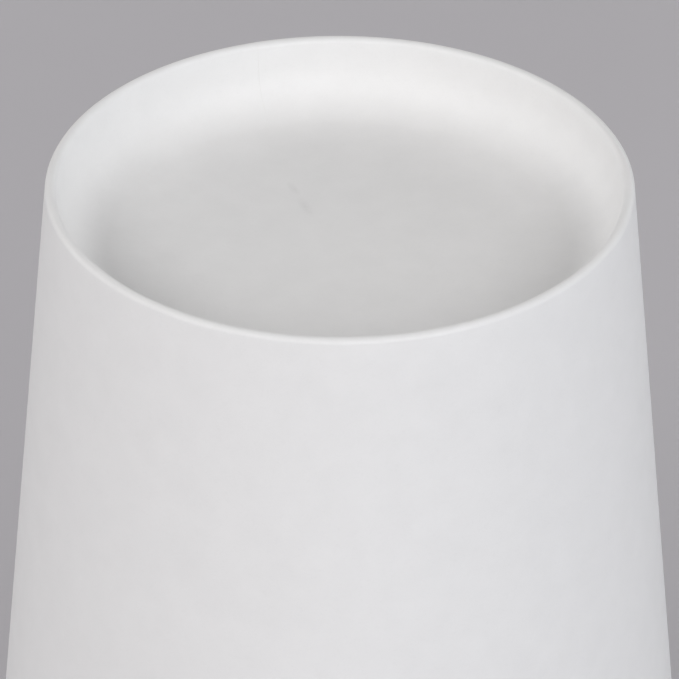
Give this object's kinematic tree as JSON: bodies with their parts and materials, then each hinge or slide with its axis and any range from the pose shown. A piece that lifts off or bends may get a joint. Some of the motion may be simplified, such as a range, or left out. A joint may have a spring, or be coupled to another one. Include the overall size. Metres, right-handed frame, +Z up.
{
  "type": "paper cup",
  "caption": "Plain white paper cup standing mouth down: a tapered lapped wall with a rolled rim, and a glued bottom set into a recessed foot.",
  "frame": {"origin": "centre of the mouth, on the plane that the rolled rim rests on", "axes": "+Z up along the cup's axis, from the mouth to the foot; -Y towards the picture's camera; the seam's cut edge lies 18 degrees from +Y towards -X"},
  "size_m": [0.09, 0.09, 0.112],
  "materials": {
    "wall_board": "matte white board, smooth lining inside",
    "bottom_board": "matte white board, smooth lining inside"
  },
  "bodies": {
    "root": {"side_wall": "wall_board", "bottom": "bottom_board"}
  },
  "joints": []
}
